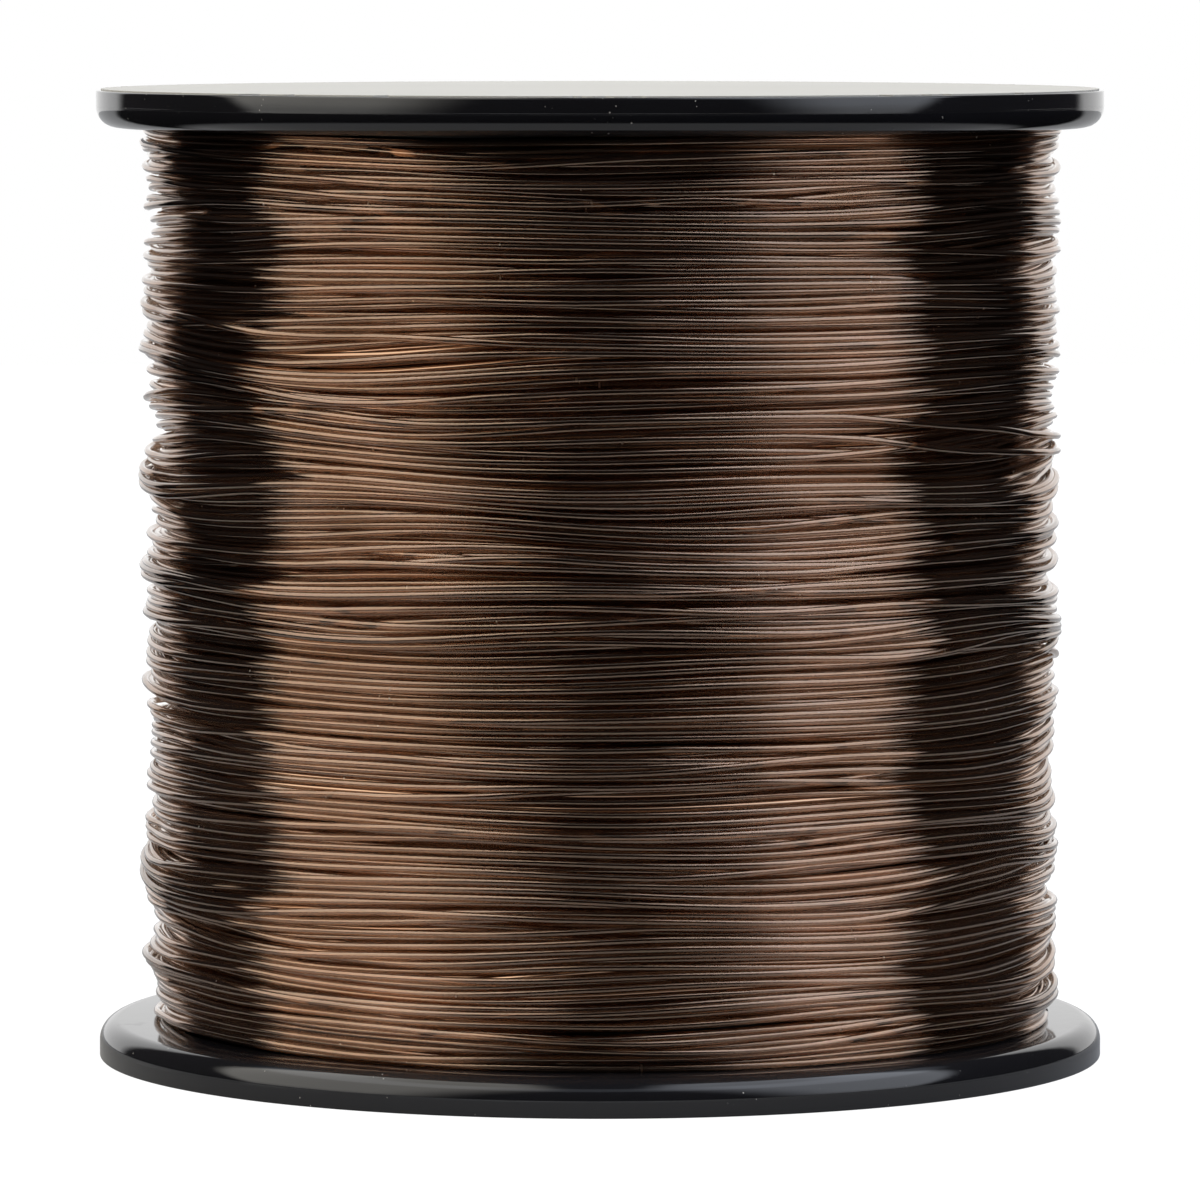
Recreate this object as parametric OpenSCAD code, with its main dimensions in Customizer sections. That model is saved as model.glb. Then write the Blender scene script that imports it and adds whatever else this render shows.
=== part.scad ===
// Bulk spool of nylon monofilament line: two moulded flanges that snap into a
// barrel, the line wound full between them, and a paper label over the top face.
// Millimetres, +Z up, origin at the middle of the face that the spool stands on.

/* [Spool] */
// Diameter of both flanges
flange_d = 104; // [100:1:120]
// Height over the two flange faces, without the label
spool_h = 100; // [60:1:140]
// Diameter of the hole for the winder's spindle
bore_d = 16.2; // [10:0.1:20]

/* [Flange] */
// Thickness of the flange at its rim
rim_t = 3.8; // [3:0.1:5]
// Radius of the rim's rounding on the side of the line
rim_round = 2.1; // [1:0.1:2.6]
// Small radius that breaks the rim's outer edge
edge_round = 0.2; // [0.1:0.05:0.5]
// Thickness of the disc inside the rim
web_t = 2.8; // [2:0.1:2.9]
// How far the thick rim reaches in over the line
rim_lap = 2; // [1:0.1:4]
// Width of the ramp from the disc up to the thick rim
ramp_w = 1; // [0.5:0.1:2]
// Length of the spigot that plugs into the barrel
spigot_len = 10; // [8:0.5:16]
// Wall of the spigot
spigot_wall = 2; // [1.5:0.1:2.6]
// Thickness of the floor that joins the spigot to the hub
floor_t = 2; // [1.2:0.1:3]
// Wall of the hub around the spindle hole
hub_wall = 2.2; // [1.4:0.1:3]
// How far the hub's end sits below the outer face
hub_set = 0.5; // [0.3:0.1:1.5]
// Number of ribs between hub and spigot
rib_count = 8; // [4:1:12]
// Thickness of a rib
rib_t = 1.6; // [1:0.1:2.4]
// How far the ribs' edges sit below the outer face
rib_set = 1.5; // [0.5:0.1:4]

/* [Barrel] */
// Outside diameter of the barrel
barrel_d = 44; // [40:1:60]
// Wall of the barrel
barrel_wall = 2.4; // [1.8:0.1:3]
// Radial clearance between spigot and barrel
spigot_gap = 0.05; // [0.02:0.01:0.1]

/* [Snap joint] */
// Number of lugs on each spigot
lug_count = 3; // [2:1:4]
// Width of a lug along the spigot's surface
lug_w = 7; // [4:0.5:10]
// Length of a lug along the axis
lug_len = 3; // [2:0.1:4]
// How far a lug stands out of the spigot
lug_h = 0.9; // [0.6:0.1:1.6]
// Distance of a lug's catching edge from the flange's disc
lug_from_web = 4; // [3:0.1:4.5]
// Clearance of a lug in its window
lug_gap = 0.15; // [0.05:0.01:0.3]

/* [Line] */
// Diameter of the line
line_d = 0.75; // [0.5:0.05:0.9]
// Diameter over the winding
winding_d = 94; // [84:1:98]
// Turns of the outer layer, spread over the winding
turn_count = 24; // [8:1:24]
// How far the outer turns wander up and down
wander = 0.45; // [0:0.05:0.6]
// Radius of the bend where the outer turns leave the packed line
tuck_bend = 0.6; // [0.55:0.01:0.7]
// Depth of the hole that an end of the outer turns is tucked into
tuck_depth = 0.25; // [0.2:0.05:0.5]
// Clearance of the packed line round the barrel and at the tuck holes
pack_gap = 0.05; // [0.02:0.01:0.1]

/* [Tapes] */
// Thickness of the adhesive tape
tape_t = 0.1; // [0.05:0.01:0.2]
// Width of the tape
tape_w = 12; // [8:1:19]
// Length of the piece that holds the line's first turn to the barrel
start_tape_len = 25; // [15:1:30]
// Length of the piece that holds the line's free end
tail_tape_len = 30; // [20:1:40]
// Distance from a tape to the flange beside it
tape_from_flange = 0.6; // [0.3:0.1:3]

/* [Label] */
// Thickness of the paper label
label_t = 0.15; // [0.1:0.01:0.3]
// Bare margin between the label and the rim
label_margin = 0.5; // [0.3:0.1:4]

/* [Hidden] */

$fn = 96;
edge_steps = 2;
rim_steps = 5;
ring_sides = 6;
rings_per_turn = 24;
bend_rings = 4;
cut = 1;

black_plastic = [0.07, 0.07, 0.08];
barrel_plastic = [0.12, 0.12, 0.13];
brown_line = [0.36, 0.25, 0.18];
dark_line = [0.24, 0.16, 0.11];
clear_tape = [0.85, 0.82, 0.74];
paper = [0.88, 0.87, 0.84];

flange_r = flange_d / 2;
bore_r = bore_d / 2;
barrel_r = barrel_d / 2;
spigot_r = barrel_r - barrel_wall - spigot_gap;
cup_r = spigot_r - spigot_wall;
hub_r = bore_r + hub_wall;
spigot_end = web_t + spigot_len;
lug_z = web_t + lug_from_web;

winding_r = winding_d / 2;
turn_r = winding_r - line_d / 2;
ring_step = 360 / rings_per_turn;
// The turns are chords between their rings, and touch the packed line in mid-chord.
pack_r = turn_r * cos(ring_step / 2) - line_d / 2;
rim_in = winding_r - rim_lap;
ramp_in = rim_in - ramp_w;

front_of_tail = 90;
turn_from_rim = line_d + wander;
first_z = rim_t + turn_from_rim;
last_z = spool_h - rim_t - turn_from_rim;

// Points of an arc of radius r about [x, y], from angle a to angle b in so many steps
function arc(x, y, r, a, b, steps) =
    [for (i = [0 : steps]) let (t = a + (b - a) * i / steps) [x + r * cos(t), y + r * sin(t)]];

// Degrees that a length takes up round a circle of radius r
function turn_of(length, r) = length / r * 180 / PI;

// A strip of a tube: from radius r0 to r1 and z0 to z1, over an angle centred on mid
module strip(r0, r1, z0, z1, angle, mid) {
    rotate([0, 0, mid - angle / 2])
        rotate_extrude(angle = angle)
            translate([r0, z0])
                square([r1 - r0, z1 - z0]);
}

// Half section of the moulded flange, outer face on z = 0
module flange_section() {
    polygon(concat(
        [[cup_r, 0]],
        arc(flange_r - edge_round, edge_round, edge_round, -90, 0, edge_steps),
        arc(flange_r - rim_round, rim_t - rim_round, rim_round, 0, 90, rim_steps),
        [
            [rim_in, rim_t], [ramp_in, web_t], [spigot_r, web_t], [spigot_r, spigot_end],
            [bore_r, spigot_end], [bore_r, hub_set], [hub_r, hub_set],
            [hub_r, spigot_end - floor_t], [cup_r, spigot_end - floor_t]
        ]
    ));
}

// Ribs between the hub and the spigot's wall
module ribs() {
    root = 0.5;
    for (i = [0 : rib_count - 1])
        rotate([0, 0, 360 * (i + 0.5) / rib_count])
            translate([hub_r - root, -rib_t / 2, rib_set])
                cube([cup_r - hub_r + 2 * root, rib_t, spigot_end - floor_t - rib_set + root]);
}

// Lugs that ramp up away from the disc and catch in the barrel's windows
module lugs() {
    angle = turn_of(lug_w, spigot_r);
    root = 0.5;
    for (i = [0 : lug_count - 1])
        rotate([0, 0, 360 * i / lug_count - angle / 2])
            rotate_extrude(angle = angle)
                polygon([
                    [spigot_r - root, lug_z], [spigot_r + lug_h, lug_z],
                    [spigot_r + lug_h, lug_z + lug_len / 3], [spigot_r, lug_z + lug_len],
                    [spigot_r - root, lug_z + lug_len]
                ]);
}

module flange() {
    rotate_extrude() flange_section();
    ribs();
    lugs();
}

module lower_flange() {
    color(black_plastic) flange();
}

module upper_flange() {
    color(black_plastic)
        translate([0, 0, spool_h])
            mirror([0, 0, 1])
                flange();
}

// Windows for the lugs of the flange that stands on z = 0
module lug_windows() {
    inner = barrel_r - barrel_wall - cut;
    outer = barrel_r + cut;
    angle = turn_of(lug_w, spigot_r) + 2 * turn_of(lug_gap, spigot_r);
    for (i = [0 : lug_count - 1])
        strip(inner, outer, lug_z - lug_gap, lug_z + lug_len + lug_gap, angle, 360 * i / lug_count);
}

module barrel() {
    color(barrel_plastic)
        difference() {
            translate([0, 0, web_t])
                cylinder(r = barrel_r, h = spool_h - 2 * web_t);
            translate([0, 0, web_t - cut])
                cylinder(r = barrel_r - barrel_wall, h = spool_h - 2 * web_t + 2 * cut);
            lug_windows();
            translate([0, 0, spool_h])
                mirror([0, 0, 1])
                    lug_windows();
        }
}

// The tape lies between two lug windows, on the barrel's surface.
module start_tape_strip(grow) {
    mid = 180 / lug_count;
    z0 = web_t + tape_from_flange;
    angle = turn_of(start_tape_len + 2 * grow, barrel_r);
    strip(barrel_r, barrel_r + tape_t + grow, z0 - grow, z0 + tape_w + grow, angle, mid);
}

module start_tape() {
    color(clear_tape) start_tape_strip(0);
}

// Half section of the line packed between the flanges, all but its outer layer
module packed_section() {
    inner = barrel_r + pack_gap;
    top = spool_h;
    polygon([
        [inner, web_t], [ramp_in, web_t], [rim_in, rim_t], [pack_r, rim_t],
        [pack_r, top - rim_t], [rim_in, top - rim_t], [ramp_in, top - web_t], [inner, top - web_t]
    ]);
}

// Blind hole where an end of the outer turns dips into the packed line
module tuck_hole(end) {
    mouth = turn_r - tuck_bend;
    translate([0, 0, end[2]])
        rotate([0, 0, atan2(end[1], end[0])])
            rotate([0, 90, 0])
                translate([0, 0, pack_r - tuck_depth])
                    cylinder(d = line_d + 2 * pack_gap, h = mouth - pack_r + tuck_depth + cut);
}

module packed_line() {
    color(dark_line)
        difference() {
            rotate_extrude() packed_section();
            start_tape_strip(pack_gap);
            tuck_hole(turn_path[0]);
            tuck_hole(turn_path[len(turn_path) - 1]);
        }
}

// Height of the outer turns at ring i: an even climb with a slow, irregular wander
ring_count = turn_count * rings_per_turn;
function turn_z(i) =
    let (t = i * ring_step)
    first_z + (last_z - first_z) * i / ring_count
        + wander * (0.6 * sin(t * 0.37) + 0.4 * sin(t * 0.83 + 50));

// The winding's end comes at the middle of the tail tape.
first_angle = front_of_tail - 360 * turn_count;
function turn_point(i) =
    let (t = first_angle + i * ring_step)
    [turn_r * cos(t), turn_r * sin(t), turn_z(i)];

// An end of the turns: a bend inwards, then straight down its hole; way is 1 or -1
function tuck(i, way) =
    let (
        t = first_angle + i * ring_step,
        out = [cos(t), sin(t), 0],
        along = way * [-sin(t), cos(t), 0],
        centre = turn_point(i) - tuck_bend * out,
        foot = centre + tuck_bend * along,
        inward = -foot / norm([foot[0], foot[1]])
    )
    concat(
        [for (k = [1 : bend_rings]) let (b = 90 * k / bend_rings)
            centre + tuck_bend * (cos(b) * out + sin(b) * along)],
        [foot + (turn_r - tuck_bend - pack_r + tuck_depth) * [inward[0], inward[1], 0]]
    );
function reversed(list) = [for (i = [len(list) - 1 : -1 : 0]) list[i]];
turn_path = concat(
    reversed(tuck(0, -1)),
    [for (i = [0 : ring_count]) turn_point(i)],
    tuck(ring_count, 1)
);

// One ring of the tube at path point i, square to the path
function ring(path, i) =
    let (
        before = path[max(i - 1, 0)],
        after = path[min(i + 1, len(path) - 1)],
        ahead = (after - before) / norm(after - before),
        side = cross(ahead, [0, 0, 1]) / norm(cross(ahead, [0, 0, 1])),
        up = cross(side, ahead)
    )
    [for (k = [0 : ring_sides - 1]) let (a = 360 * k / ring_sides)
        path[i] + line_d / 2 * (cos(a) * side + sin(a) * up)];

// A closed tube of triangles along a path
module tube(path) {
    rings = [for (i = [0 : len(path) - 1]) each ring(path, i)];
    last = (len(path) - 1) * ring_sides;
    walls = [for (i = [0 : len(path) - 2], k = [0 : ring_sides - 1])
        let (
            a = i * ring_sides + k,
            b = i * ring_sides + (k + 1) % ring_sides,
            c = a + ring_sides,
            d = b + ring_sides
        )
        each [[a, c, b], [b, c, d]]];
    first_cap = [for (k = [1 : ring_sides - 2]) [0, k, k + 1]];
    last_cap = [for (k = [1 : ring_sides - 2]) [last, last + k + 1, last + k]];
    polyhedron(points = rings, faces = concat(walls, first_cap, last_cap));
}

module outer_turns() {
    color(brown_line) tube(turn_path);
}

// Least gap of the outer turns to themselves, from the points half a turn to a turn and a half on
half_turn = rings_per_turn / 2;
turn_points = [for (i = [0 : ring_count]) turn_point(i)];
least_gap = min([for (i = [0 : ring_count - half_turn], j = [i + half_turn : min(i + 3 * half_turn, ring_count)])
    norm(turn_points[i] - turn_points[j])]) - line_d;
echo(least_gap_between_outer_turns = least_gap);

module tail_tape() {
    top = spool_h - rim_t - tape_from_flange;
    angle = turn_of(tail_tape_len, winding_r);
    color(clear_tape)
        strip(winding_r, winding_r + tape_t, top - tape_w, top, angle, front_of_tail);
}

module top_label() {
    color(paper)
        translate([0, 0, spool_h])
            cylinder(r = flange_r - label_margin, h = label_t);
}

lower_flange();
upper_flange();
barrel();
start_tape();
packed_line();
outer_turns();
tail_tape();
top_label();
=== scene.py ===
# %% [markdown]
# # A bulk spool of monofilament line
#
# The real thing is a black moulded spool, about 104 mm across and 100 mm high, wound full with 0.75 mm
# brown nylon line. This lesson dresses the construction model: the solids stay where they are, and each
# visible piece is modelled again with the detail that a close look shows.
#
# Blender works in metres here, so every size is written in millimetres times MM. The sizes repeat those of
# the construction, because the script can't read its source.

# %% Load the frame
import math

import bpy
import numpy as np
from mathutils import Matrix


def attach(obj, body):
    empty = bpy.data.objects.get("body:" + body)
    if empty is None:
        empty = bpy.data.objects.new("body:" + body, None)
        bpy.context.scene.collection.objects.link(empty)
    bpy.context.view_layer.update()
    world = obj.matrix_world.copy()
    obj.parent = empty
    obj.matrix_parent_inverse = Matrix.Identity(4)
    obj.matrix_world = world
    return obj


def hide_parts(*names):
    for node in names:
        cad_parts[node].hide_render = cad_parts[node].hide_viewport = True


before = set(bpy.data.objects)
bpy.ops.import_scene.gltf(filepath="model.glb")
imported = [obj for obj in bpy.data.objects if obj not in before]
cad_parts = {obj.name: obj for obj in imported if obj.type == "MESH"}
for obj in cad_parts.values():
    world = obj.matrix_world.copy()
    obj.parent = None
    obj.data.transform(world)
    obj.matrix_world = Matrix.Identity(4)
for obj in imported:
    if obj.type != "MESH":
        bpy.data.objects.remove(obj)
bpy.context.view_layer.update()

MM = 0.001
PER_MM = 1 / MM
SPOOL_H = 100 * MM
FLANGE_R = 52 * MM

# %% [markdown]
# ## Camera
#
# The spool is seen from a little above its middle with a long lens. The near rims show as narrow ellipses,
# wide at the bottom and almost flat at the top, and those two ellipses fix how far away and how high the
# camera stands.

# %% Camera
CAMERA_AWAY = 0.880
CAMERA_UP = 0.1136
CAMERA_PITCH = 4.319
camera_data = bpy.data.cameras.new("camera")
camera_data.lens = 255.2
camera_data.sensor_width = 36
camera_data.clip_start = 0.05
camera = bpy.data.objects.new("camera", camera_data)
camera.location = (0, -CAMERA_AWAY, CAMERA_UP)
camera.rotation_euler = (math.radians(90 - CAMERA_PITCH), 0, 0)
bpy.context.scene.collection.objects.link(camera)
bpy.context.scene.camera = camera
print("camera", CAMERA_AWAY, "m away, looking down by", CAMERA_PITCH, "degrees")

# %% [markdown]
# ## One helper for every node
#
# A sky or a material is a tree of nodes. By hand a node is added, its fields are filled in, and wires are
# drawn to it. One helper does these three things, so that the code reads like the tree. The settings that
# come back often have short names: SOFT is a step with soft ends, from 0 to 1 between two values.

# %% Node helper
SOFT = {"interpolation_type": "SMOOTHSTEP"}
TIMES = {"operation": "MULTIPLY"}
TIMES_PLUS = {"operation": "MULTIPLY_ADD"}
PLUS = {"operation": "ADD"}
TWO_COLOURS = {"data_type": "RGBA"}


def node(tree, kind, settings=None, links=None):
    """Adds a node, fills in its settings and joins its inputs to other nodes or to their outputs."""
    made = tree.nodes.new("ShaderNode" + kind)
    for name, value in (settings or {}).items():
        if isinstance(name, int) or name in made.inputs:
            made.inputs[name].default_value = value
        else:
            setattr(made, name, value)
    for name, source in (links or {}).items():
        output = source.outputs[0] if hasattr(source, "outputs") else source
        tree.links.new(output, made.inputs[name])
    return made


def linear(hex_colour):
    """An sRGB hex colour as Blender's linear RGBA."""
    parts = [int(hex_colour[i : i + 2], 16) / 255 for i in (1, 3, 5)]
    return [c / 12.92 if c <= 0.04045 else ((c + 0.055) / 1.055) ** 2.4 for c in parts] + [1.0]


print("white is", linear("#FFFFFF"))

# %% [markdown]
# ## A studio made of light directions
#
# A glossy black rim and a clear round line show hardly anything but what they mirror, so the room matters
# more than their colours. In a product studio it is a tall white panel on either side, a white paper behind
# and a dark room in front. Here each panel is a patch of sky: a product of soft windows on the direction.
# The left lamp is warm and the right one cool. The camera itself sees plain white.
#
# Real area lamps would do as well, but they'd need to stand far away, and their edges are harder to place.

# %% Windows and glows
world = bpy.data.worlds.new("studio")
bpy.context.scene.world = world
world.use_nodes = True
sky_tree = world.node_tree
sky_tree.nodes.clear()
direction = node(sky_tree, "TexCoord").outputs["Generated"]


def window(along, low, high):
    """0 to 1 across the sky, where the direction's share along a vector passes from low to high."""
    share = node(sky_tree, "VectorMath", {"operation": "DOT_PRODUCT", 1: along}, {0: direction})
    limits = {**SOFT, "From Min": low, "From Max": high}
    return node(sky_tree, "MapRange", limits, {"Value": share.outputs["Value"]})


def glow(colour, *windows):
    """Light of one colour wherever all the windows are open."""
    amount = window(*windows[0])
    for one in windows[1:]:
        amount = node(sky_tree, "Math", TIMES, {0: amount, 1: window(*one)})
    return node(sky_tree, "VectorMath", {"operation": "SCALE", 0: colour}, {"Scale": amount})


def side_panel(side, inner, outer):
    """The edges of a tall panel beside the spool: its front, back, top and bottom."""
    return [
        ((side, inner, 0.374), -0.29, 0.37),
        ((side * outer, -1, 0.62), -0.07, 0.07),
        ((side, 0, -0.155), -0.07, 0.07),
        ((0, 0, 1), -0.48, -0.18),
    ]


LEFT = side_panel(-1, 0.90, -0.06)
RIGHT = side_panel(1, 1.02, -0.25)
print("edges of a side panel:", len(LEFT))

# %% [markdown]
# ## The panels
#
# Each side panel is brighter in its upper part. A ceiling light in two tints lies over it all, a white
# paper stands behind, and a soft panel below serves whoever looks at the underside.

# %% World
UPPER_PART = ((0, 0, 1), -0.02, 0.15)
CEILING = ((0, 0, 1), 0.70, 0.76), ((0, 0, -1), -0.92, -0.86)
PAPER_BEHIND = ((0, 1, 0), 0.74, 0.82), ((0, 0, 1), -0.22, -0.15), ((0, 0, -1), -0.95, -0.90)
DARK_ROOM = (0.030, 0.028, 0.029)
PANELS = [
    glow((1.27, 1.25, 1.19), *LEFT),
    glow((0.70, 0.66, 0.58), *LEFT, UPPER_PART),
    glow((1.18, 1.22, 1.30), *RIGHT),
    glow((0.60, 0.66, 0.78), *RIGHT, UPPER_PART),
    glow((1.1, 1.1, 1.1), *PAPER_BEHIND),
    glow((0.40, 0.44, 0.50), *CEILING),
    glow((0.30, 0.28, 0.26), *LEFT, *CEILING),
    glow((0.26, 0.28, 0.32), *RIGHT, *CEILING),
    glow((0.80, 0.82, 0.85), ((0, 0, -1), 0.45, 0.95)),
]
sky = node(sky_tree, "CombineXYZ", dict(enumerate(DARK_ROOM)))
for panel in PANELS:
    sky = node(sky_tree, "VectorMath", PLUS, {0: sky, 1: panel})
lit = node(sky_tree, "Background", {"Strength": 1.0}, {"Color": sky})
plain = node(sky_tree, "Background", {"Color": linear("#FFFFFF"), "Strength": 1.0})
is_camera = node(sky_tree, "LightPath").outputs["Is Camera Ray"]
mixed = node(sky_tree, "MixShader", {}, {0: is_camera, 1: lit, 2: plain})
node(sky_tree, "OutputWorld", {}, {"Surface": mixed})
print("panels:", len(PANELS), "nodes in the sky:", len(sky_tree.nodes))

# %% [markdown]
# ## Floor
#
# A sheet of white acrylic carries the spool. The camera sees it nearly white with a faint contact shadow;
# what the plastic mirrors is painted shade: a grey darker than the sheet near the spool, lit from the side,
# and near black beyond 0.17 m, except behind it. From below it is open, and it has an opening under the
# spool, so that the underside can be looked at and has a soft panel below to mirror.

# %% Floor
FLOOR_DROP = 0.02 * MM
# Where the painted shade of the mirrored sheet turns from grey to near black, in metres from the axis.
PAINTED_SHADE_EDGE = 0.17, 0.13
SHEET_BEHIND = 0.76, 0.82


def new_material(name):
    made = bpy.data.materials.new(name)
    made.use_nodes = True
    made.node_tree.nodes.clear()
    return made, made.node_tree


bpy.ops.object.select_all(action="DESELECT")
bpy.ops.mesh.primitive_circle_add(vertices=96, radius=1.5, fill_type="NGON", location=(0, 0, -FLOOR_DROP))
floor = bpy.context.object
floor.name = "floor"
# White acrylic, cast: it takes a soft shadow and shows hardly any edge.
acrylic, tree = new_material("white_acrylic_sheet")
coords = node(tree, "TexCoord").outputs["Object"]
far = node(tree, "VectorMath", {"operation": "LENGTH"}, {0: coords}).outputs["Value"]
near_part = {**SOFT, "From Min": PAINTED_SHADE_EDGE[0], "From Max": PAINTED_SHADE_EDGE[1]}
near_part = node(tree, "MapRange", near_part, {"Value": far})
towards = node(tree, "VectorMath", {"operation": "NORMALIZE"}, {0: coords})
towards = node(tree, "SeparateXYZ", {}, {0: towards}).outputs["Y"]
back_part = {**SOFT, "From Min": SHEET_BEHIND[0], "From Max": SHEET_BEHIND[1]}
back_part = node(tree, "MapRange", back_part, {"Value": towards})
lighter_painted_part = node(tree, "Math", {"operation": "MAXIMUM"}, {0: near_part, 1: back_part})
# Painted shade for what the plastic mirrors: grey #B5B5B5 near the spool and behind it, near black #101010
# farther out.
painted_shade_greys = {**TWO_COLOURS, "A": linear("#101010"), "B": linear("#B5B5B5")}
painted_shade_greys = node(tree, "Mix", painted_shade_greys, {"Factor": lighter_painted_part}).outputs["Result"]
mirrored = node(tree, "BsdfDiffuse", {}, {"Color": painted_shade_greys})
shadow = node(tree, "BsdfDiffuse", {"Color": linear("#FFFFFF")})
shine = node(tree, "Emission", {"Strength": 1.11})
white = node(tree, "MixShader", {0: 0.88}, {1: shadow, 2: shine})
is_camera = node(tree, "LightPath").outputs["Is Camera Ray"]
seen = node(tree, "MixShader", {}, {0: is_camera, 1: mirrored, 2: white})
below = node(tree, "NewGeometry").outputs["Backfacing"]
covered = node(tree, "Math", {"operation": "LESS_THAN", 1: FLANGE_R - MM}, {0: far})
open_part = node(tree, "Math", {"operation": "MAXIMUM"}, {0: below, 1: covered})
seen = node(tree, "MixShader", {}, {0: open_part, 1: seen, 2: node(tree, "BsdfTransparent")})
node(tree, "OutputMaterial", {}, {"Surface": seen})
floor.data.materials.append(acrylic)
print("floor across in metres:", round(floor.dimensions.x, 2))

# %% [markdown]
# ## Picking by place
#
# An operator acts on what is selected. By hand the faces are clicked; here they are chosen by where they lie
# and which way they face, so that the steps still work when a size changes.

# %% Picking faces and edges
NEAR = 0.01 * MM


def clear_choice(piece):
    """Leaves edit mode with nothing of the mesh selected."""
    bpy.ops.object.mode_set(mode="OBJECT")
    for part in (piece.data.polygons, piece.data.edges, piece.data.vertices):
        part.foreach_set("select", [False] * len(part))


def pick_faces(piece, test):
    """In edit mode: selects only the faces whose centre and normal pass the test."""
    clear_choice(piece)
    for face in piece.data.polygons:
        face.select = bool(test(face.center, face.normal))
    bpy.ops.object.mode_set(mode="EDIT")
    bpy.ops.mesh.select_mode(type="FACE")


def pick_edges(piece, test):
    """In edit mode: selects only the edges whose two ends pass the test."""
    clear_choice(piece)
    for edge in piece.data.edges:
        edge.select = all(test(piece.data.vertices[v].co) for v in edge.vertices)
    bpy.ops.object.mode_set(mode="EDIT")
    bpy.ops.mesh.select_mode(type="EDGE")


def only(piece):
    """Selects one object alone and makes it active."""
    bpy.ops.object.select_all(action="DESELECT")
    piece.select_set(True)
    bpy.context.view_layer.objects.active = piece


def out(point):
    return math.hypot(point[0], point[1])


def ring_at(radius, level):
    return lambda p: abs(out(p) - radius) < NEAR and abs(p[2] - level) < NEAR


print("places match within", round(NEAR * PER_MM, 3), "mm")

# %% [markdown]
# ## The flange moulding
#
# A bulk spool is made of two alike mouldings that plug into a tube. Each has a thick rolled rim that keeps
# the line from slipping off, a thinner disc, a cup that is the spigot, and a hub for the spindle. It could
# be spun from a half section; one cylinder is enough, though, and each step can be followed. The disc and
# the cup's pocket are inset and pushed in from both faces, the bore is bridged through, and the rim's inner
# edge gets the big bevel that a hand feels.

# %% Flange
SIDES = 256
RIM_T = 3.8 * MM
RIM_ROUND = 2.1 * MM
EDGE_ROUND = 0.2 * MM
WEB_T = 2.8 * MM
WINDING_R = 47 * MM
RIM_IN = WINDING_R - 2 * MM
RAMP_W = 1 * MM
SPIGOT_R = 19.55 * MM
SPIGOT_END = WEB_T + 10 * MM
CUP_R = SPIGOT_R - 2 * MM
CUP_DEPTH = SPIGOT_END - 2 * MM
BORE_R = 8.1 * MM
HUB_R = BORE_R + 2.2 * MM
HUB_SET = 0.5 * MM


def narrow(radius_from, radius_to, shift=0.0):
    bpy.ops.mesh.inset(thickness=radius_from - radius_to, depth=shift)


def push(distance):
    bpy.ops.mesh.extrude_region_move(TRANSFORM_OT_translate={"value": (0, 0, distance)})


bpy.ops.object.select_all(action="DESELECT")
bpy.ops.mesh.primitive_cylinder_add(vertices=SIDES, radius=FLANGE_R, depth=RIM_T, location=(0, 0, RIM_T / 2))
flange = bpy.context.object
flange.name = "lower_flange_moulding"
bpy.ops.object.transform_apply(location=True, rotation=True, scale=True)
pick_faces(flange, lambda c, n: n.z > 0.9)
narrow(FLANGE_R, RIM_IN)
narrow(RIM_IN, RIM_IN - RAMP_W, WEB_T - RIM_T)
narrow(RIM_IN - RAMP_W, SPIGOT_R)
push(SPIGOT_END - WEB_T)
narrow(SPIGOT_R, BORE_R)
pick_faces(flange, lambda c, n: n.z < -0.9)
narrow(FLANGE_R, CUP_R)
push(CUP_DEPTH)
narrow(CUP_R, HUB_R)
push(HUB_SET - CUP_DEPTH)
narrow(HUB_R, BORE_R)
pick_faces(flange, lambda c, n: out(c) < NEAR)
bpy.ops.mesh.bridge_edge_loops()
pick_edges(flange, ring_at(FLANGE_R, RIM_T))
bpy.ops.mesh.bevel(offset=RIM_ROUND, segments=12, affect="EDGES")
pick_edges(flange, ring_at(FLANGE_R, 0))
bpy.ops.mesh.bevel(offset=EDGE_ROUND, segments=3, affect="EDGES")
bpy.ops.object.mode_set(mode="OBJECT")
print("flange faces:", len(flange.data.polygons), "box", [round(v * PER_MM, 2) for v in flange.dimensions])

# %% [markdown]
# ## Ribs
#
# Ribs tie the hub to the cup, with a little draft so that they leave the steel. One is modelled, copied
# round the axis, each copy with its own mesh, and the ring of them is joined on with a boolean. So they
# grow into the walls as in the mould, without faces inside.

# %% Ribs
RIB_COUNT = 8
RIB_T = 1.6 * MM
RIB_SET = 1.5 * MM
RIB_DRAFT = 0.8
RIB_ROUND = 0.2 * MM
ROOT = 0.5 * MM


def box(x, y, z):
    """A block between three pairs of limits, left in edit mode with its mesh selected."""
    centre = [(low + high) / 2 for low, high in (x, y, z)]
    bpy.ops.object.select_all(action="DESELECT")
    bpy.ops.mesh.primitive_cube_add(size=1, location=centre)
    made = bpy.context.object
    made.scale = [high - low for low, high in (x, y, z)]
    bpy.ops.object.transform_apply(location=True, rotation=True, scale=True)
    bpy.ops.object.mode_set(mode="EDIT")
    return made


def ring_of(piece, count, start):
    """Copies a piece round the axis, each with its own mesh, and joins them."""
    copies = []
    for i in range(count):
        one = piece.copy()
        one.data = piece.data.copy()
        bpy.context.scene.collection.objects.link(one)
        one.rotation_euler = (0, 0, math.radians(start + 360 * i / count))
        copies.append(one)
    bpy.data.objects.remove(piece)
    only(copies[0])
    for one in copies:
        one.select_set(True)
    bpy.ops.object.transform_apply(location=True, rotation=True, scale=True)
    bpy.ops.object.join()
    return bpy.context.object


def combine(piece, tool, way):
    """Joins a tool to a piece or cuts it away, and removes the tool."""
    only(piece)
    change = piece.modifiers.new(way, "BOOLEAN")
    change.operation = way
    change.object = tool
    change.solver = "EXACT"
    bpy.ops.object.modifier_apply(modifier=change.name)
    bpy.data.objects.remove(tool)
    print(way.lower(), "leaves", len(piece.data.polygons), "faces")


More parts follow.
